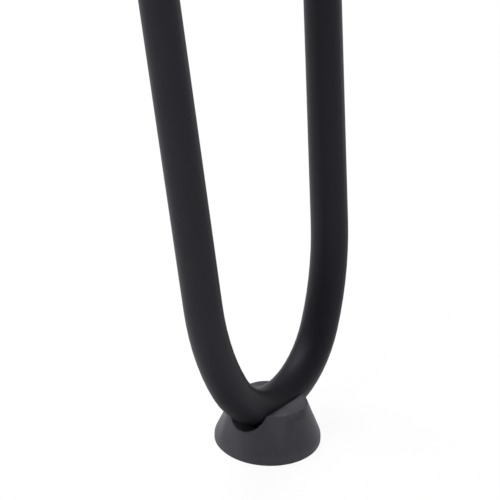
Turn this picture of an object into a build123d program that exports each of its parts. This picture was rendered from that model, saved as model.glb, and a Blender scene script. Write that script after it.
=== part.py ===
from build123d import *
from math import cos, radians, sin, tan
import os

os.makedirs("parts", exist_ok=True)

# Hairpin table leg in millimetres. The origin is the middle of the foot's underside, on the floor.
# +Z is up, the two straights stand apart along X, and the leg leans towards +Y on its way up.

# Whole leg
leg_height = 406.0
splay_angle = 7.25

# Rod, all radii to its centre line
rod_diameter = 10.0
bend_radius = 24.4
bend_half_angle = 60.0
flank_radius = 62.5
straight_half_angle = 4.1

# Where the lowest point of the rod's centre line sits over the foot: the foot is pushed on off its middle
bend_height = 10.6
bend_offset_x = 4.7

# Foot, with its height and top radius at its axis: the top tilts up towards -X
foot_base_radius = 13.9
foot_rim_height = 2.2
foot_top_radius = 10.0
foot_height = 12.2
foot_top_tilt = 4.5
foot_base_chamfer = 0.5
foot_rim_round = 2.9

# Saddle across the foot: a channel wider than the rod, with an arched bottom line flatter than the bend
saddle_radius = 56.0
saddle_side_clearance = 0.1
saddle_seat_clearance = 0.05
saddle_lip_chamfer = 0.4

# Mounting plate and its screw holes, measured from the line through the two rod ends
plate_side_margin = 15.0
plate_depth = 80.0
plate_thickness = 4.0
plate_corner_radius = 9.0
plate_edge_chamfer = 0.5
plate_outer_margin = 14.0
hole_diameter = 6.5
hole_spacing_x = 100.0
hole_spacing_y = 36.0
hole_row_offset = 18.0

# Weld bead round each rod end
weld_leg = 3.5
weld_toe = 0.4

# Plane of the hairpin: its local x runs along X and its local y climbs with the splay
lean = radians(splay_angle)
hairpin_normal = Vector(0.0, -cos(lean), sin(lean))
hairpin_plane = Plane(
    origin=(bend_offset_x, 0.0, bend_height),
    x_dir=(1.0, 0.0, 0.0),
    z_dir=hairpin_normal,
)
rod_radius = rod_diameter / 2.0
plate_underside = leg_height - plate_thickness

# Points of the rod in that plane: end of the bottom bend, start of the straight, end under the plate
turn = radians(bend_half_angle)
rake = radians(straight_half_angle)
flank_centre_x = (flank_radius - bend_radius) * sin(turn)
flank_centre_y = bend_radius + (flank_radius - bend_radius) * cos(turn)
straight_start_x = flank_radius * cos(rake) - flank_centre_x
straight_start_y = flank_centre_y - flank_radius * sin(rake)
rod_top_y = (plate_underside - bend_height) / cos(lean)
rod_top_x = straight_start_x + (rod_top_y - straight_start_y) * tan(rake)
rod_line_y = rod_top_y * sin(lean)

# Hairpin rod: one bar with a bottom bend, two easier flanks and two straights, cut level under the plate
flank_turn = 90.0 - straight_half_angle - bend_half_angle
straight_length = (rod_top_y - straight_start_y) / cos(rake) + rod_diameter
with BuildPart() as hairpin_rod:
    with BuildLine(hairpin_plane) as rod_path:
        CenterArc((0.0, bend_radius), bend_radius, 270.0 - bend_half_angle, 2.0 * bend_half_angle)
        CenterArc((-flank_centre_x, flank_centre_y), flank_radius, 270.0 + bend_half_angle, flank_turn)
        CenterArc((flank_centre_x, flank_centre_y), flank_radius, 270.0 - bend_half_angle, -flank_turn)
        PolarLine((straight_start_x, straight_start_y), straight_length, 90.0 - straight_half_angle)
        PolarLine((-straight_start_x, straight_start_y), straight_length, 90.0 + straight_half_angle)
    rod_wire = rod_path.wire()
    with BuildSketch(Plane(origin=rod_wire @ 0, z_dir=rod_wire % 0)):
        Circle(rod_radius)
    sweep(path=rod_wire)
    split(bisect_by=Plane.XY.offset(plate_underside), keep=Keep.BOTTOM)
hairpin_rod.part.label = "hairpin_rod"
export_step(hairpin_rod.part, "parts/hairpin_rod.step")

# Rubber foot: a turned cone on a short rim, carried past its top and cut off along the tilt
tilt = radians(foot_top_tilt)
foot_top_plane = Plane(origin=(0.0, 0.0, foot_height), z_dir=(sin(tilt), 0.0, cos(tilt)))
flank_taper = (foot_base_radius - foot_top_radius) / (foot_height - foot_rim_height)
cone_extra = foot_base_radius * tan(tilt)
saddle_half_width = rod_radius + saddle_side_clearance
saddle_axis_y = saddle_radius - rod_radius - saddle_seat_clearance
saddle_axis_point = hairpin_plane.from_local_coords((0.0, saddle_axis_y, 0.0))
saddle_plane = Plane(origin=saddle_axis_point, x_dir=hairpin_normal, z_dir=(-1.0, 0.0, 0.0))
with BuildPart() as rubber_foot:
    with BuildSketch(Plane.YZ) as foot_profile:
        with BuildLine():
            Polyline(
                (0.0, 0.0),
                (foot_base_radius, 0.0),
                (foot_base_radius, foot_rim_height),
                (foot_top_radius - cone_extra * flank_taper, foot_height + cone_extra),
                (0.0, foot_height + cone_extra),
                close=True,
            )
        make_face()
        fillet(foot_profile.vertices().group_by(Axis.X)[-1].sort_by(Axis.Y)[-1], foot_rim_round)
        chamfer(foot_profile.vertices().group_by(Axis.X)[-1].sort_by(Axis.Y)[0], foot_base_chamfer)
    revolve(axis=Axis.Z)
    split(bisect_by=foot_top_plane, keep=Keep.BOTTOM)
    # The saddle is a round channel, turned about an axis above the foot, square to the hairpin's plane
    with BuildSketch(saddle_plane):
        with Locations(Location((0.0, saddle_radius - saddle_half_width), -90.0)):
            Circle(saddle_half_width)
    revolve(axis=Axis(saddle_axis_point, hairpin_normal), mode=Mode.SUBTRACT)
    # Ease both lips of the saddle along the top face
    top_edges = rubber_foot.faces().filter_by(foot_top_plane).edges()
    chamfer(top_edges.filter_by(GeomType.BSPLINE), saddle_lip_chamfer)
rubber_foot.part.label = "rubber_foot"
export_step(rubber_foot.part, "parts/rubber_foot.step")

# Mounting plate: a flat plate with rounded corners, set back from the rods, with four screw holes
plate_width = 2.0 * (rod_top_x + plate_side_margin)
plate_centre_y = rod_line_y - plate_outer_margin + plate_depth / 2.0
hole_centre_y = rod_line_y + hole_row_offset + hole_spacing_y / 2.0
with BuildPart() as mounting_plate:
    with BuildSketch(Plane.XY.offset(plate_underside)):
        with Locations((bend_offset_x, plate_centre_y)):
            RectangleRounded(plate_width, plate_depth, plate_corner_radius)
        with Locations((bend_offset_x, hole_centre_y)):
            with GridLocations(hole_spacing_x, hole_spacing_y, 2, 2):
                Circle(hole_diameter / 2.0, mode=Mode.SUBTRACT)
    extrude(amount=plate_thickness)
    plate_faces = mounting_plate.faces().filter_by(Plane.XY)
    chamfer([edge for face in plate_faces for edge in face.outer_wire().edges()], plate_edge_chamfer)
mounting_plate.part.label = "mounting_plate"
export_step(mounting_plate.part, "parts/mounting_plate.step")

# Weld beads: a tapering collar on each rod end, trimmed by the plate and by the rod
for side, bead_name in ((-1.0, "weld_bead_left"), (1.0, "weld_bead_right")):
    rod_end = hairpin_plane.from_local_coords((side * rod_top_x, rod_top_y, 0.0))
    rod_along = hairpin_plane.x_dir * (side * sin(rake)) + hairpin_plane.y_dir * cos(rake)
    bead_plane = Plane(origin=rod_end, x_dir=rod_along.cross(hairpin_normal), z_dir=hairpin_normal)
    with BuildPart() as weld_bead:
        with BuildSketch(bead_plane):
            with BuildLine():
                Polyline(
                    (0.0, -weld_leg),
                    (rod_radius + weld_toe, -weld_leg),
                    (rod_radius + weld_leg, 0.0),
                    (rod_radius + weld_leg, rod_radius),
                    (0.0, rod_radius),
                    close=True,
                )
            make_face()
        revolve(axis=Axis(rod_end, rod_along))
        split(bisect_by=Plane.XY.offset(plate_underside), keep=Keep.BOTTOM)
        add(hairpin_rod.part, mode=Mode.SUBTRACT)
    weld_bead.part.label = bead_name
    export_step(weld_bead.part, f"parts/{bead_name}.step")
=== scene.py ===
from collections import namedtuple
from math import atan2, degrees, hypot, pi, radians

import bpy
from bpy.props import FloatProperty, FloatVectorProperty, IntProperty, PointerProperty
from bpy.types import Operator, Panel, PropertyGroup
from mathutils import Matrix, Vector


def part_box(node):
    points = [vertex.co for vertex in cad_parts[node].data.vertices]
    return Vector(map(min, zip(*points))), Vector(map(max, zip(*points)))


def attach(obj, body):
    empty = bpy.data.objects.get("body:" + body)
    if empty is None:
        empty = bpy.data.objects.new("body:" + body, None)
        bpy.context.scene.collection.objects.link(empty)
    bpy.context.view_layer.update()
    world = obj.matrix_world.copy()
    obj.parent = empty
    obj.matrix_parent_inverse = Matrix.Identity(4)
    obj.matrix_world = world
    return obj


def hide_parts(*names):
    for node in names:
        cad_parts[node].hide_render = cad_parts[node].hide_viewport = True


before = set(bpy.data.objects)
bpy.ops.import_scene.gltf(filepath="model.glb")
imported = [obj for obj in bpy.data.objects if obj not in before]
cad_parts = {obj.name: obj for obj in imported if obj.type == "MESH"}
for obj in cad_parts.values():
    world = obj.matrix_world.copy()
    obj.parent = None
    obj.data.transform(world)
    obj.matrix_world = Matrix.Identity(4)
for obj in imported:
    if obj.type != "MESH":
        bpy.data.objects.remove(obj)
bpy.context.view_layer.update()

bl_info = {
    "name": "Hairpin Table Leg",
    "version": (1, 0, 0),
    "blender": (4, 5, 0),
    "location": "View3D > Sidebar > Hairpin Leg",
    "description": "Finishes a hairpin table leg: coated steel, rippled welds and a moulded rubber foot",
    "category": "Object",
}

MM = 0.001


def mm(*sizes):
    """A place or a shift given in millimetres, as a vector in metres."""
    return Vector(sizes) * MM


# Points this close are one point, points this near to a plane lie in it, and a cut is true to this much
MERGE_DISTANCE = 0.002 * MM
PLANE_TOLERANCE = 0.01 * MM
CUT_TOLERANCE = 0.0001 * MM

# Cool tint of the light that both finishes throw back
SHEEN_TINT = "#e9e7ff"

# Plain white of the floor and the room
WHITE = (1, 1, 1, 1)

# Marks on the foot, its front at -X and near side at -Y: a spot shifts, and the rubber within reach follows
Mark = namedtuple("Mark", "middle spot shift reach")
PROUD_BACK_RIM = Mark(mm(8.4, 5.8, 11.5), spot=0.8 * MM, shift=mm(0, 0, 0.45), reach=6 * MM)
FULL_FAR_SIDE = Mark(mm(-7.5, 11.7, 0.8), spot=0.8 * MM, shift=mm(-0.16, 0.25, 0), reach=10 * MM)
PROUD_NEAR_CORNER = Mark(mm(7.6, -6.8, 11.5), spot=0.8 * MM, shift=mm(0, 0, 0.45), reach=3.5 * MM)
NICK = Mark(mm(0.2, -9.9, 11.9), spot=0.4 * MM, shift=mm(0, 0.35, -0.1), reach=0.9 * MM)

# Crease under the near rim, with its arc in degrees round the foot from +X
CREASE_ARC = (-112, -90)
CREASE_HEIGHTS = (11.3 * MM, 11.7 * MM)
CREASE_LEAST_RADIUS = 9 * MM
CREASE_SHIFT = mm(0.05, 0.3, 0)
CREASE_REACH = 1.2 * MM

# Corner of the near lip that the bar has rubbed round
RUBBED_CORNER = mm(-8.8, -4.4, 12.7)
RUBBED_SPOT = 2 * MM
RUBBED_PASSES = 14

# Share of a normal along X past which a face belongs to the foot's flank and not to the saddle
FLANK_FACING = 0.5

# Lamps: place and side in metres, the stage setting that holds the power, and whether the gloss shows them
Lamp = namedtuple("Lamp", "name place side power in_gloss")
LAMPS = (
    Lamp("key_lamp", (-1.0, 0.097, 0.77), side=0.1, power="key_power", in_gloss=False),
    Lamp("fill_soft_box", (0.345, -0.788, 0.303), side=0.5, power="fill_power", in_gloss=False),
    Lamp("top_soft_box", (0.578, 1.163, 1.913), side=1.25, power="top_power", in_gloss=False),
    Lamp("bend_soft_box", (-0.125, 0.635, 2.245), side=1.25, power="bend_power", in_gloss=True),
    Lamp("back_soft_box", (0.0, 1.749, 1.529), side=1.25, power="back_power", in_gloss=True),
)
LAMP_AIM = Vector((0, 0.01, 0.07))

# Width of the camera's sensor in millimetres
SENSOR_WIDTH = 36.0


def linear(hex_colour):
    """Linear RGB of an sRGB hex colour such as #2b2b2f."""
    channels = [int(hex_colour[i : i + 2], 16) / 255 for i in (1, 3, 5)]
    return tuple(c / 12.92 if c <= 0.04045 else ((c + 0.055) / 1.055) ** 2.4 for c in channels)


def per_metre(width):
    """Texture scale at which a pattern on Object coordinates repeats about once in a width."""
    return 1 / width


def add_node(tree, kind, values=None, links=None, **settings):
    """Adds a node with its settings, its input values and the links into its inputs."""
    node = tree.nodes.new(kind)
    for name, value in settings.items():
        setattr(node, name, value)
    for name, value in (values or {}).items():
        node.inputs[name].default_value = value
    for name, output in (links or {}).items():
        tree.links.new(output, node.inputs[name])
    return node


def new_material(name):
    """A material with an empty node tree, and that tree."""
    material = bpy.data.materials.new(name)
    material.use_nodes = True
    material.node_tree.nodes.clear()
    return material, material.node_tree


def looked_at(tree):
    """Two switches: 1 for the camera alone, and 1 for the camera, the gloss and a view through glass."""
    path = add_node(tree, "ShaderNodeLightPath").outputs
    camera = path["Is Camera Ray"]
    mirrored = add_node(
        tree,
        "ShaderNodeMath",
        links={0: path["Is Glossy Ray"], 1: path["Is Transmission Ray"]},
        operation="MAXIMUM",
    )
    seen = add_node(tree, "ShaderNodeMath", links={0: camera, 1: mirrored.outputs[0]}, operation="MAXIMUM")
    return camera, seen.outputs[0]


def copy_of_node(node, piece_name):
    """A new piece, active and alone selected, that starts as a CAD node's mesh with its triangles merged."""
    piece = bpy.data.objects.new(piece_name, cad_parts[node].data.copy())
    bpy.context.scene.collection.objects.link(piece)
    bpy.ops.object.select_all(action="DESELECT")
    piece.select_set(True)
    bpy.context.view_layer.objects.active = piece
    bpy.ops.object.mode_set(mode="EDIT")
    bpy.ops.mesh.select_all(action="SELECT")
    bpy.ops.mesh.remove_doubles(threshold=MERGE_DISTANCE)
    bpy.ops.object.mode_set(mode="OBJECT")
    return piece


def within(middle, reach):
    """A test that a place passes if it lies within a reach of a middle."""
    return lambda place: (place - middle).length < reach


def select_vertices(piece, test):
    """Goes into edit mode on the active piece and selects only the vertices whose place passes a test."""
    bpy.ops.object.mode_set(mode="EDIT")
    bpy.ops.mesh.select_mode(type="VERT")
    bpy.ops.mesh.select_all(action="DESELECT")
    bpy.ops.object.mode_set(mode="OBJECT")
    for vertex in piece.data.vertices:
        vertex.select = test(vertex.co)
    bpy.ops.object.mode_set(mode="EDIT")


def push(piece, test, shift, reach):
    """Moves the vertices whose place passes a test, and their neighbours less and less out to a reach."""
    select_vertices(piece, test)
    bpy.ops.transform.translate(
        value=shift,
        use_proportional_edit=True,
        proportional_edit_falloff="SMOOTH",
        proportional_size=reach,
    )
    bpy.ops.object.mode_set(mode="OBJECT")


def modify(piece, kind, **settings):
    """Gives the active piece a modifier with its settings and applies it."""
    modifier = piece.modifiers.new(kind.title(), kind)
    for name, value in settings.items():
        setattr(modifier, name, value)
    bpy.ops.object.modifier_apply(modifier=modifier.name)


def paint(piece, material):
    """Makes one material the only one on a piece."""
    piece.data.materials.clear()
    piece.data.materials.append(material)


def rod_ends():
    """Middles of the two cut ends of the bar under the plate, the one on the -X side first."""
    low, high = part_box("hairpin_rod")
    middle_x = (low.x + high.x) / 2
    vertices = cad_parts["hairpin_rod"].data.vertices
    top = [v.co for v in vertices if high.z - v.co.z < PLANE_TOLERANCE]
    ends = []
    for side in (-1, 1):
        rim = [co for co in top if side * (co.x - middle_x) > 0]
        x = (min(co.x for co in rim) + max(co.x for co in rim)) / 2
        y = (min(co.y for co in rim) + max(co.y for co in rim)) / 2
        ends.append(Vector((x, y, high.z)))
    return ends


def powder_coated_steel(finish):
    """Matte black polyester powder coat, sprayed and baked on steel bar.

    The eye gets a deep, slightly cool black, a soft sheen along the edges of the bar, and the faint
    orange-peel swell and grit that melted powder leaves.
    """
    material, tree = new_material("powder_coated_steel")
    place = add_node(tree, "ShaderNodeTexCoord").outputs["Object"]
    # Patches where the coat lies a little thicker
    patches = add_node(
        tree,
        "ShaderNodeTexNoise",
        {"Scale": per_metre(finish.patch_width), "Detail": 3.0, "Roughness": 0.55},
        {"Vector": place},
    )
    colour = add_node(
        tree,
        "ShaderNodeMix",
        {"A": (*finish.coat_colour, 1), "B": (*finish.coat_thick_colour, 1)},
        {"Factor": patches.outputs["Fac"]},
        data_type="RGBA",
    )
    # Orange peel about two millimetres wide, and grit drawn about twice its real size so that it shows
    peel = add_node(
        tree,
        "ShaderNodeTexNoise",
        {"Scale": per_metre(finish.peel_width), "Detail": 1.0},
        {"Vector": place},
    )
    grit = add_node(
        tree,
        "ShaderNodeTexNoise",
        {"Scale": per_metre(finish.grit_width), "Detail": 2.0, "Roughness": 0.6},
        {"Vector": place},
    )
    swell = add_node(
        tree,
        "ShaderNodeBump",
        {"Strength": 1.0, "Distance": finish.peel_depth},
        {"Height": peel.outputs["Fac"]},
    )
    surface = add_node(
        tree,
        "ShaderNodeBump",
        {"Strength": 1.0, "Distance": finish.grit_depth},
        {"Height": grit.outputs["Fac"], "Normal": swell.outputs["Normal"]},
    )
    roughness = add_node(
        tree,
        "ShaderNodeMapRange",
        {"To Min": 0.42, "To Max": 0.5},
        {"Value": grit.outputs["Fac"]},
    )
    coat = add_node(
        tree,
        "ShaderNodeBsdfPrincipled",
        {"Specular IOR Level": 0.25, "Specular Tint": (*linear(SHEEN_TINT), 1)},
        {
            "Base Color": colour.outputs["Result"],
            "Roughness": roughness.outputs["Result"],
            "Normal": surface.outputs["Normal"],
        },
    )
    add_node(tree, "ShaderNodeOutputMaterial", links={"Surface": coat.outputs["BSDF"]})
    return material


def moulded_rubber(finish):
    """Dark grey rubber, compression moulded.

    The eye gets a duller, paler grey than the bar, a chalky bloom that thickens in soft clouds, a base
    painted paler as painted light from the floor, painted shade in the saddle, a fine mould grain and a
    wide soft highlight.
    """
    material, tree = new_material("moulded_rubber")
    place = add_node(tree, "ShaderNodeTexCoord").outputs["Object"]
    # Bloom: clouds a few millimetres wide, drawn out up the flank
    upright = (1, 1, 1 / finish.bloom_stretch)
    streaks = add_node(tree, "ShaderNodeMapping", {"Scale": upright}, {"Vector": place})
    bloom = add_node(
        tree,
        "ShaderNodeTexNoise",
        {"Scale": per_metre(finish.bloom_width), "Detail": 3.0, "Roughness": 0.5},
        {"Vector": streaks.outputs["Vector"]},
    )
    cloud = add_node(
        tree,
        "ShaderNodeMapRange",
        {"From Min": 0.35, "From Max": 0.65},
        {"Value": bloom.outputs["Fac"]},
    )
    skin = add_node(
        tree,
        "ShaderNodeMix",
        {"A": (*finish.rubber_colour, 1), "B": (*finish.bloom_colour, 1)},
        {"Factor": cloud.outputs["Result"]},
        data_type="RGBA",
    )
    # Painted light: the rubber is painted paler towards the base, in place of the floor's light on it
    height = add_node(tree, "ShaderNodeSeparateXYZ", links={"Vector": place}).outputs["Z"]
    painted_base_light = add_node(
        tree,
        "ShaderNodeMapRange",
        {"From Min": 0.0, "From Max": finish.painted_base_light_height, "To Min": 1.0, "To Max": 0.0},
        {"Value": height},
        interpolation_type="SMOOTHSTEP",
    )
    flank = add_node(
        tree,
        "ShaderNodeMix",
        {"B": (*finish.painted_base_light_colour, 1)},
        {"Factor": painted_base_light.outputs["Result"], "A": skin.outputs["Result"]},
        data_type="RGBA",
    )
    # Painted shade: the front half of the saddle is painted darker than the rest of the rubber
    saddle = add_node(tree, "ShaderNodeAttribute", attribute_name="saddle")
    colour = add_node(
        tree,
        "ShaderNodeMix",
        {"B": (*finish.saddle_shade_colour, 1)},
        {"Factor": saddle.outputs["Fac"], "A": flank.outputs["Result"]},
        data_type="RGBA",
    )
    grain = add_node(
        tree,
        "ShaderNodeTexNoise",
        {"Scale": per_metre(finish.grain_width), "Detail": 2.0},
        {"Vector": place},
    )
    surface = add_node(
        tree,
        "ShaderNodeBump",
        {"Strength": 1.0, "Distance": finish.grain_depth},
        {"Height": grain.outputs["Fac"]},
    )
    roughness = add_node(
        tree,
        "ShaderNodeMapRange",
        {"To Min": 0.38, "To Max": 0.48},
        {"Value": bloom.outputs["Fac"]},
    )
    rubber = add_node(
        tree,
        "ShaderNodeBsdfPrincipled",
        {"Specular IOR Level": 0.4, "Specular Tint": (*linear(SHEEN_TINT), 1)},
        {
            "Base Color": colour.outputs["Result"],
            "Roughness": roughness.outputs["Result"],
            "Normal": surface.outputs["Normal"],
        },
    )
    add_node(tree, "ShaderNodeOutputMaterial", links={"Surface": rubber.outputs["BSDF"]})
    return material


def white_card(stage):
    """Matte white card for the floor, which reads as plain white and still takes the leg's shadow.

    In the gloss of the leg the card carries painted shadows close in front of the foot and on the right,
    which brings the bars to their tones in the photo. Towards its edge the card turns all white, so that
    the edge does not show.
    """
    material, tree = new_material("white_card")
    place = add_node(tree, "ShaderNodeTexCoord").outputs["Object"]
    camera, seen = looked_at(tree)

    def spread(middle, inside, outside, low):
        """A value that is low round one spot on the floor and climbs to 1 further out."""
        away = add_node(tree, "ShaderNodeVectorMath", {1: middle}, {0: place}, operation="DISTANCE")
        climb = add_node(
            tree,
            "ShaderNodeMapRange",
            {"From Min": inside, "From Max": outside, "To Min": low, "To Max": 1.0},
            {"Value": away.outputs["Value"]},
            interpolation_type="SMOOTHSTEP",
        )
        return climb.outputs["Result"]

    # Painted shadows in the card's glow, seen in the gloss of the leg, close in front of the foot and on the
    # right
    near = spread(stage.near_spot, 0.0, stage.near_reach, stage.near_shade)
    side = spread(stage.side_spot, stage.side_radius, stage.side_reach, stage.side_shade)
    fade = spread((0, 0, 0), stage.fade_start, stage.fade_end, stage.floor_white_share)
    shade = add_node(tree, "ShaderNodeMath", links={0: near, 1: side}, operation="MINIMUM")
    white = add_node(tree, "ShaderNodeMath", links={0: camera, 1: shade.outputs[0]}, operation="MAXIMUM")
    share = add_node(tree, "ShaderNodeMath", links={0: seen, 1: fade}, operation="MULTIPLY")
    card = add_node(tree, "ShaderNodeBsdfDiffuse", {"Color": (*stage.floor_colour, 1)})
    glow = add_node(tree, "ShaderNodeEmission", {"Color": WHITE}, {"Strength": white.outputs[0]})
    mix = add_node(
        tree,
        "ShaderNodeMixShader",
        links={"Fac": share.outputs[0], 1: card.outputs["BSDF"], 2: glow.outputs["Emission"]},
    )
    add_node(tree, "ShaderNodeOutputMaterial", links={"Surface": mix.outputs["Shader"]})
    return material


class CoatFinish(PropertyGroup):
    """Sizes and colours of the powder coat."""

    coat_colour: FloatVectorProperty(
        name="Coat", description="Colour of the powder coat", subtype="COLOR", default=linear("#1b1a1e")
    )
    coat_thick_colour: FloatVectorProperty(
        name="Thick coat",
        description="Colour where the coat lies a little thicker",
        subtype="COLOR",
        default=linear("#1f1e22"),
    )
    patch_width: FloatProperty(
        name="Patch width",
        description="Width of a patch of thicker coat",
        unit="LENGTH",
        default=14 * MM,
    )
    peel_width: FloatProperty(
        name="Peel width", description="Width of an orange-peel swell", unit="LENGTH", default=2.2 * MM
    )
    peel_depth: FloatProperty(
        name="Peel depth", description="Height of an orange-peel swell", unit="LENGTH", default=0.05 * MM
    )
    grit_width: FloatProperty(
        name="Grit width", description="Width of a grain of the coat", unit="LENGTH", default=0.55 * MM
    )
    grit_depth: FloatProperty(
        name="Grit depth", description="Height of a grain of the coat", unit="LENGTH", default=0.02 * MM
    )


class RubberFinish(PropertyGroup):
    """Sizes and colours of the rubber."""

    rubber_colour: FloatVectorProperty(
        name="Rubber", description="Colour of the rubber", subtype="COLOR", default=linear("#3b3a3e")
    )
    bloom_colour: FloatVectorProperty(
        name="Bloom", description="Colour of the chalky bloom", subtype="COLOR", default=linear("#434246")
    )
    # Painted shade: darker colour in the front half of the saddle
    saddle_shade_colour: FloatVectorProperty(
        name="Shaded rubber",
        description="Colour of the rubber in the saddle",
        subtype="COLOR",
        default=linear("#2b2b2f"),
    )
    # Painted light: paler colour towards the base, in place of the floor's light on it
    painted_base_light_colour: FloatVectorProperty(
        name="Base light", description="Colour of the lightened base", subtype="COLOR", default=linear("#48474b")
    )
    painted_base_light_height: FloatProperty(
        name="Scuff height", description="How far up the foot is lightened", unit="LENGTH", default=4.5 * MM
    )
    bloom_width: FloatProperty(
        name="Bloom width", description="Width of a cloud of bloom", unit="LENGTH", default=5 * MM
    )
    bloom_stretch: FloatProperty(
        name="Bloom stretch",
        description="How many times taller than wide a cloud of bloom is",
        min=1,
        default=2.5,
    )
    grain_width: FloatProperty(
        name="Grain width", description="Width of the mould's grain", unit="LENGTH", default=0.5 * MM
    )
    grain_depth: FloatProperty(
        name="Grain depth", description="Height of the mould's grain", unit="LENGTH", default=0.02 * MM
    )
    skin: FloatProperty(
        name="Skin", description="Width of a face of the finished foot", unit="LENGTH", default=0.22 * MM
    )
    saddle_half_width: FloatProperty(
        name="Saddle half width",
        description="Half of the saddle across the bar",
        unit="LENGTH",
        default=5.3 * MM,
    )
    saddle_floor: FloatProperty(
        name="Saddle floor", description="Height of the saddle's floor", unit="LENGTH", default=5 * MM
    )
    saddle_shift: FloatProperty(
        name="Saddle shift",
        description="How far the bar has pushed the soft saddle over",
        unit="LENGTH",
        default=0.75 * MM,
    )
    give: FloatProperty(
        name="Give",
        description="How far round the saddle the rubber gives",
        unit="LENGTH",
        default=5.5 * MM,
    )
    edge_passes: IntProperty(
        name="Edge softness", description="Passes that soften the moulded edges", min=0, default=8
    )


class WeldSizes(PropertyGroup):
    """Sizes of the weld bead round each end of the bar."""

    rod_radius: FloatProperty(
        name="Bar radius", description="Radius of the bar that is welded", unit="LENGTH", default=5 * MM
    )
    ripples: IntProperty(name="Ripples", description="Ripples round one bead", min=8, default=26)
    throat: FloatProperty(
        name="Throat",
        description="From the corner of bar and plate out to the crest of a ripple",
        unit="LENGTH",
        default=2.8 * MM,
    )
    half_width: FloatProperty(
        name="Half width", description="Half of the bead from toe to toe", unit="LENGTH", default=2.6 * MM
    )
    half_depth: FloatProperty(
        name="Half depth",
        description="Half of a ripple's depth into the corner",
        unit="LENGTH",
        default=1.3 * MM,
    )
    half_length: FloatProperty(
        name="Half length", description="Half of a ripple along the weld", unit="LENGTH", default=1.3 * MM
    )
    lean: FloatProperty(
        name="Lean", description="Lean of each ripple over the last", unit="ROTATION", default=radians(28)
    )
    skin: FloatProperty(
        name="Skin", description="Width of a face of the finished bead", unit="LENGTH", default=0.2 * MM
    )


class StageSettings(PropertyGroup):
    """Floor, lamps and camera."""

    floor_size: FloatProperty(name="Floor", description="Side of the floor", unit="LENGTH", default=2.0)
    floor_colour: FloatVectorProperty(
        name="Card", description="Colour of the floor card", subtype="COLOR", default=linear("#e6e6e6")
    )
    floor_white_share: FloatProperty(
        name="White share",
        description="Share of the floor that is plain white, the rest takes the shadow",
        subtype="FACTOR",
        min=0,
        max=1,
        default=0.94,
    )
    fade_start: FloatProperty(
        name="Fade start",
        description="From the leg out to where the floor starts to turn all white",
        unit="LENGTH",
        default=0.4,
    )
    fade_end: FloatProperty(
        name="Fade end",
        description="From the leg out to where the floor is all white",
        unit="LENGTH",
        default=0.96,
    )
    # Painted shadows in the floor's glow in the gloss: close in front of the foot and on the right
    near_spot: FloatVectorProperty(
        name="Near spot",
        description="Middle of the floor close in front of the foot that is darker in the gloss",
        subtype="TRANSLATION",
        unit="LENGTH",
        default=mm(-20, -7, 0),
    )
    near_reach: FloatProperty(
        name="Near reach", description="How far the near spot reaches", unit="LENGTH", default=50 * MM
    )
    near_shade: FloatProperty(
        name="Near shade",
        description="How bright the middle of the near spot is in the gloss of the leg",
        subtype="FACTOR",
        min=0,
        max=1,
        default=0.18,
    )
    side_spot: FloatVectorProperty(
        name="Side spot",
        description="Middle of the floor on the right that is darker in the gloss",
        subtype="TRANSLATION",
        unit="LENGTH",
        default=mm(124, -84, 0),
    )
    side_radius: FloatProperty(
        name="Side radius",
        description="How far from its middle the side spot is evenly dark",
        unit="LENGTH",
        default=60 * MM,
    )
    side_reach: FloatProperty(
        name="Side reach", description="How far the side spot reaches", unit="LENGTH", default=160 * MM
    )
    side_shade: FloatProperty(
        name="Side shade",
        description="How bright the middle of the side spot is in the gloss of the leg",
        subtype="FACTOR",
        min=0,
        max=1,
        default=0.5,
    )
    room_gloss: FloatProperty(
        name="Room in the gloss",
        description="How bright the room is in the gloss of the leg",
        min=0,
        default=0.22,
    )
    room_light: FloatProperty(
        name="Room light", description="Strength of the light from all round", min=0, default=0.19
    )
    key_power: FloatProperty(
        name="Key lamp", description="Power of the lamp on the left", unit="POWER", default=5.1
    )
    fill_power: FloatProperty(
        name="Fill lamp", description="Power of the soft box on the right", unit="POWER", default=1.1
    )
    top_power: FloatProperty(
        name="Top lamp", description="Power of the soft box high behind the leg", unit="POWER", default=45.5
    )
    bend_power: FloatProperty(
        name="Bend lamp", description="Power of the soft box over the bend", unit="POWER", default=18.7
    )
    back_power: FloatProperty(
        name="Back lamp", description="Power of the soft box at the back", unit="POWER", default=9.2
    )
    camera_place: FloatVectorProperty(
        name="Camera",
        description="Place of the camera",
        subtype="TRANSLATION",
        unit="LENGTH",
        default=(-0.57941, -0.37429, 0.4237),
    )
    camera_turn: FloatVectorProperty(
        name="Camera turn",
        description="Turn of the camera about X, Y and Z",
        subtype="EULER",
        unit="ROTATION",
        default=(radians(61.9622), radians(-1.5271), radians(-55.8059)),
    )
    camera_lens: FloatProperty(
        name="Lens", description="Focal length of the camera", unit="CAMERA", default=219.86
    )


class HairpinLegSettings(PropertyGroup):
    """All that a user may change on the leg."""

    coat: PointerProperty(type=CoatFinish)
    rubber: PointerProperty(type=RubberFinish)
    weld: PointerProperty(type=WeldSizes)
    stage: PointerProperty(type=StageSettings)


class HAIRPIN_OT_coat_steel(Operator):
    """Powder-coats the bar and the plate"""

    bl_idname = "hairpin_leg.coat_steel"
    bl_label = "Coat Steel"

    def execute(self, context):
        coat = powder_coated_steel(context.scene.hairpin_leg.coat)
        for name in ("hairpin_rod", "mounting_plate"):
            paint(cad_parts[name], coat)
        return {"FINISHED"}


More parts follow.
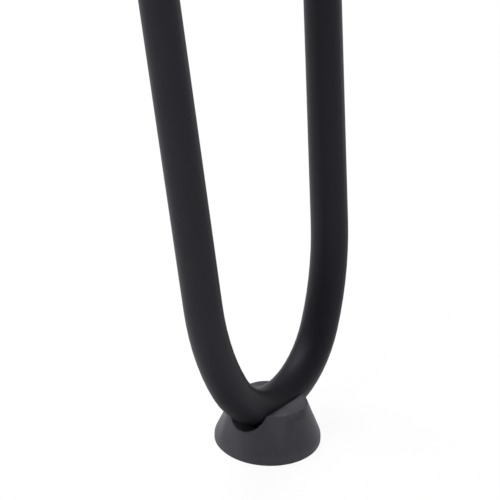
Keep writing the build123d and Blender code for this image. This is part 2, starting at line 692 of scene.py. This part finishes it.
class HAIRPIN_OT_weld_rods(Operator):
    """Lays a rippled weld bead round each end of the bar, under the same coat"""

    bl_idname = "hairpin_leg.weld_rods"
    bl_label = "Weld Rods"

    def execute(self, context):
        left_end, right_end = rod_ends()
        left = self.lay_bead(context, left_end)
        right = bpy.data.objects.new("rippled_weld_right", left.data.copy())
        right.data.transform(Matrix.Translation(right_end - left_end))
        context.scene.collection.objects.link(right)
        for piece, node in ((left, "weld_bead_left"), (right, "weld_bead_right")):
            paint(piece, bpy.data.materials["powder_coated_steel"])
            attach(piece, "root")
            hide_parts(node)
        return {"FINISHED"}

    def lay_bead(self, context, rod_end):
        """One ripple, copied round the end of the bar, fused into a bead and cut level under the plate."""
        weld = context.scene.hairpin_leg.weld
        # The ripple faces out of the corner, halfway between the bar and the plate
        slope = Matrix.Rotation(radians(45), 4, "Y")
        into_corner = slope.to_3x3() @ Vector((weld.throat - weld.half_depth, 0, 0))
        bpy.ops.object.select_all(action="DESELECT")
        bpy.ops.mesh.primitive_uv_sphere_add(
            segments=20,
            ring_count=12,
            radius=1,
            location=rod_end + Vector((weld.rod_radius, 0, 0)) + into_corner,
            rotation=(slope @ Matrix.Rotation(weld.lean, 4, "Z")).to_euler(),
            scale=(weld.half_depth, weld.half_length, weld.half_width),
        )
        bead = context.object
        bead.name = "rippled_weld_left"
        bpy.ops.object.transform_apply(location=True, rotation=True, scale=True)
        bpy.ops.object.mode_set(mode="EDIT")
        bpy.ops.mesh.select_all(action="SELECT")
        bpy.ops.mesh.spin(
            steps=weld.ripples - 1,
            dupli=True,
            angle=2 * pi * (weld.ripples - 1) / weld.ripples,
            center=rod_end,
            axis=(0, 0, 1),
        )
        bpy.ops.object.mode_set(mode="OBJECT")
        modify(bead, "REMESH", mode="VOXEL", voxel_size=weld.skin)
        modify(bead, "SMOOTH", factor=0.5, iterations=3)
        bpy.ops.object.mode_set(mode="EDIT")
        bpy.ops.mesh.select_all(action="SELECT")
        bpy.ops.mesh.bisect(
            plane_co=rod_end, plane_no=(0, 0, 1), clear_outer=True, threshold=CUT_TOLERANCE
        )
        # Close the cut
        bpy.ops.mesh.select_mode(type="EDGE")
        bpy.ops.mesh.select_all(action="DESELECT")
        bpy.ops.mesh.select_non_manifold()
        bpy.ops.mesh.fill()
        bpy.ops.object.mode_set(mode="OBJECT")
        bpy.ops.object.shade_smooth_by_angle(angle=radians(50))
        return bead


class HAIRPIN_OT_mould_foot(Operator):
    """Moulds the rubber foot, with soft edges and the marks of a fitted one"""

    bl_idname = "hairpin_leg.mould_foot"
    bl_label = "Mould Foot"

    def execute(self, context):
        rubber = context.scene.hairpin_leg.rubber
        foot = copy_of_node("rubber_foot", "moulded_foot")
        modify(foot, "REMESH", mode="VOXEL", voxel_size=rubber.skin)
        self.push_over(foot, rubber)
        self.wear_in(foot)
        modify(foot, "SMOOTH", factor=0.5, iterations=rubber.edge_passes)
        bpy.ops.object.shade_smooth()
        self.mark_saddle_shade(foot, rubber)
        paint(foot, moulded_rubber(rubber))
        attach(foot, "root")
        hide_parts("rubber_foot")
        return {"FINISHED"}

    def push_over(self, foot, rubber):
        """Pushes the saddle's walls over to the side to which the squeezed rubber has given way.

        In the back half, towards +X, the far wall stays against the bar.
        """

        def in_saddle(place):
            inside = abs(place.y) < rubber.saddle_half_width and place.z > rubber.saddle_floor
            return inside and (place.x < 0 or place.y < 0)

        push(foot, in_saddle, (0, rubber.saddle_shift, 0), rubber.give)

    def wear_in(self, foot):
        """Gives the foot its marks: proud rims, a fuller far side, a crease with a nick and a rubbed lip."""

        def in_crease(place):
            first, last = CREASE_ARC
            low, high = CREASE_HEIGHTS
            in_arc = first < degrees(atan2(place.y, place.x)) < last
            return in_arc and low < place.z < high and hypot(place.x, place.y) > CREASE_LEAST_RADIUS

        for mark in (PROUD_BACK_RIM, FULL_FAR_SIDE, PROUD_NEAR_CORNER):
            push(foot, within(mark.middle, mark.spot), mark.shift, mark.reach)
        # The crease under the near rim ends in the nick
        push(foot, in_crease, CREASE_SHIFT, CREASE_REACH)
        push(foot, within(NICK.middle, NICK.spot), NICK.shift, NICK.reach)
        select_vertices(foot, within(RUBBED_CORNER, RUBBED_SPOT))
        bpy.ops.mesh.vertices_smooth(factor=0.5, repeat=RUBBED_PASSES)
        bpy.ops.object.mode_set(mode="OBJECT")

    def mark_saddle_shade(self, foot, rubber):
        """Writes 1 on the walls and floor of the saddle's front half, and 0 elsewhere, for its painted
        shade.
        """
        marks = foot.data.attributes.new("saddle", "FLOAT", "POINT")
        for vertex, mark in zip(foot.data.vertices, marks.data):
            place = vertex.co
            in_width = abs(place.y - rubber.saddle_shift) < rubber.saddle_half_width
            in_front = place.x < 0 and place.z > rubber.saddle_floor
            mark.value = float(in_width and in_front and abs(vertex.normal.x) < FLANK_FACING)


class HAIRPIN_OT_set_stage(Operator):
    """Lays the floor, hangs the lamps and places the camera"""

    bl_idname = "hairpin_leg.set_stage"
    bl_label = "Set Stage"

    def execute(self, context):
        stage = context.scene.hairpin_leg.stage
        bpy.ops.object.select_all(action="DESELECT")
        bpy.ops.mesh.primitive_plane_add(size=stage.floor_size)
        floor = context.object
        floor.name = "floor"
        floor.data.materials.append(white_card(stage))
        self.hang_lamps(context, stage)
        self.light_room(context, stage)
        self.place_camera(context, stage)
        context.scene.view_settings.view_transform = "Standard"
        return {"FINISHED"}

    def hang_lamps(self, context, stage):
        """Key lamp in the hairpin's plane, so that one bar shades the other, and four soft boxes to fill in.

        Only the two soft boxes that light the inside of the bend show in the gloss.
        """
        for lamp in LAMPS:
            light = bpy.data.lights.new(lamp.name, "AREA")
            light.size = lamp.side
            light.energy = getattr(stage, lamp.power)
            hung = bpy.data.objects.new(lamp.name, light)
            hung.location = lamp.place
            hung.rotation_euler = (LAMP_AIM - Vector(lamp.place)).to_track_quat("-Z", "Y").to_euler()
            hung.visible_camera = False
            hung.visible_glossy = lamp.in_gloss
            context.scene.collection.objects.link(hung)

    def light_room(self, context, stage):
        """World that is white to look at, dimmer in the gloss, and gives the leg a little even light."""
        world = bpy.data.worlds.new("white_room")
        world.use_nodes = True
        tree = world.node_tree
        tree.nodes.clear()
        camera, seen = looked_at(tree)
        look = add_node(tree, "ShaderNodeMath", {1: stage.room_gloss}, {0: camera}, operation="MAXIMUM")
        white = add_node(tree, "ShaderNodeBackground", {"Color": WHITE}, {"Strength": look.outputs[0]})
        light = add_node(tree, "ShaderNodeBackground", {"Color": WHITE, "Strength": stage.room_light})
        mix = add_node(
            tree,
            "ShaderNodeMixShader",
            links={"Fac": seen, 1: light.outputs["Background"], 2: white.outputs["Background"]},
        )
        add_node(tree, "ShaderNodeOutputWorld", links={"Surface": mix.outputs["Shader"]})
        context.scene.world = world

    def place_camera(self, context, stage):
        """Camera in front of the leg, looking down through a long lens at the bend and the foot."""
        data = bpy.data.cameras.new("photo_camera")
        data.sensor_width = SENSOR_WIDTH
        data.lens = stage.camera_lens
        camera = bpy.data.objects.new("photo_camera", data)
        camera.location = stage.camera_place
        camera.rotation_euler = stage.camera_turn
        context.scene.collection.objects.link(camera)
        context.scene.camera = camera


class HAIRPIN_PT_leg(Panel):
    """Sizes, colours and steps of the hairpin leg"""

    bl_idname = "HAIRPIN_PT_leg"
    bl_label = "Hairpin Leg"
    bl_space_type = "VIEW_3D"
    bl_region_type = "UI"
    bl_category = "Hairpin Leg"

    def draw(self, context):
        settings = context.scene.hairpin_leg
        for step, group in STEPS:
            self.layout.operator(step.bl_idname)
            for name in getattr(settings, group).__annotations__:
                self.layout.prop(getattr(settings, group), name)


# Each step with the group of settings that it reads
STEPS = (
    (HAIRPIN_OT_coat_steel, "coat"),
    (HAIRPIN_OT_weld_rods, "weld"),
    (HAIRPIN_OT_mould_foot, "rubber"),
    (HAIRPIN_OT_set_stage, "stage"),
)
CLASSES = (
    CoatFinish,
    RubberFinish,
    WeldSizes,
    StageSettings,
    HairpinLegSettings,
    HAIRPIN_OT_coat_steel,
    HAIRPIN_OT_weld_rods,
    HAIRPIN_OT_mould_foot,
    HAIRPIN_OT_set_stage,
    HAIRPIN_PT_leg,
)


def register():
    for cls in CLASSES:
        bpy.utils.register_class(cls)
    bpy.types.Scene.hairpin_leg = PointerProperty(type=HairpinLegSettings)


def unregister():
    del bpy.types.Scene.hairpin_leg
    for cls in reversed(CLASSES):
        bpy.utils.unregister_class(cls)


def main():
    register()
    bpy.ops.hairpin_leg.coat_steel()
    bpy.ops.hairpin_leg.weld_rods()
    bpy.ops.hairpin_leg.mould_foot()
    bpy.ops.hairpin_leg.set_stage()


if __name__ == "__main__":
    main()
